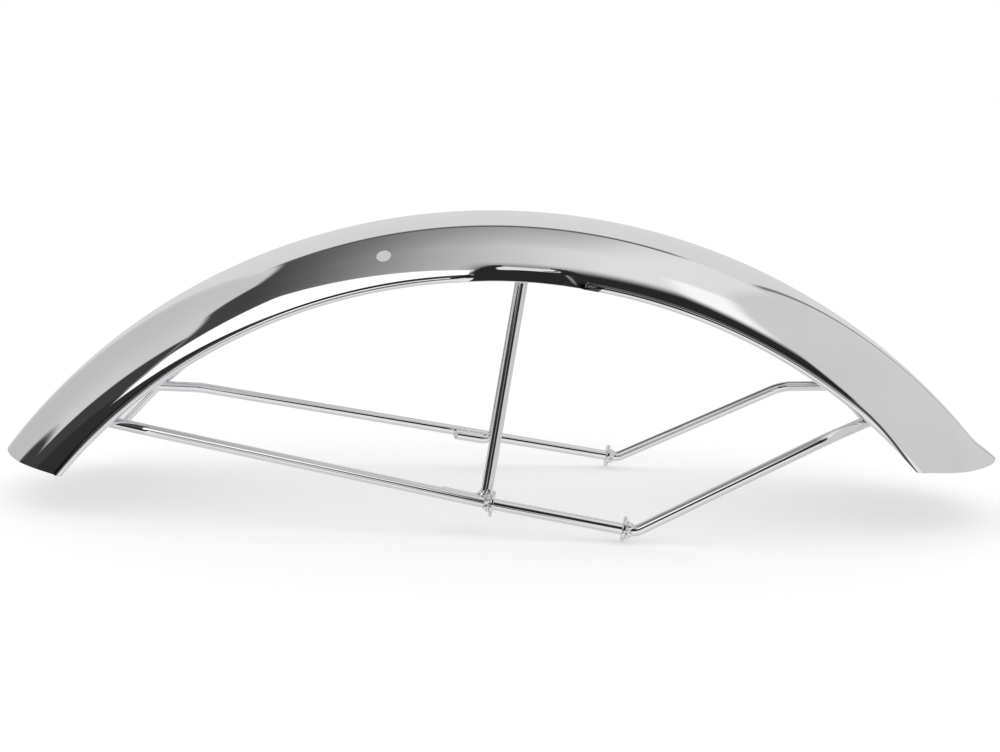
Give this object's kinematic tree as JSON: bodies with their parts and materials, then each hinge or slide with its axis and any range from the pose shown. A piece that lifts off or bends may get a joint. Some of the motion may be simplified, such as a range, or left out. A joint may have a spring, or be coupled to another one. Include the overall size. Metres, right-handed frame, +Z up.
{
  "type": "motorcycle front mudguard",
  "caption": "Arched chromed sheet-steel front mudguard with rolled edges, a flared rear end, bent wire side stays with clamp flanges and a centre stay.",
  "frame": {"origin": "on the surface that the part rests on, under the middle of its bounding box", "axes": "+X towards the rear of the motorcycle, +Y towards its right side, +Z up"},
  "size_m": [0.5706, 0.1798, 0.1678],
  "materials": {
    "blade_chrome": "bright chrome plate",
    "stay_chrome": "bright chrome plate on rod and welds",
    "flange_chrome": "bright chrome plate"
  },
  "bodies": {
    "root": {"blade": "blade_chrome", "left_side_stay": "stay_chrome", "right_side_stay": "stay_chrome", "centre_stay": "stay_chrome", "left_front_flange": "flange_chrome", "left_rear_flange": "flange_chrome", "right_front_flange": "flange_chrome", "right_rear_flange": "flange_chrome"}
  },
  "joints": []
}
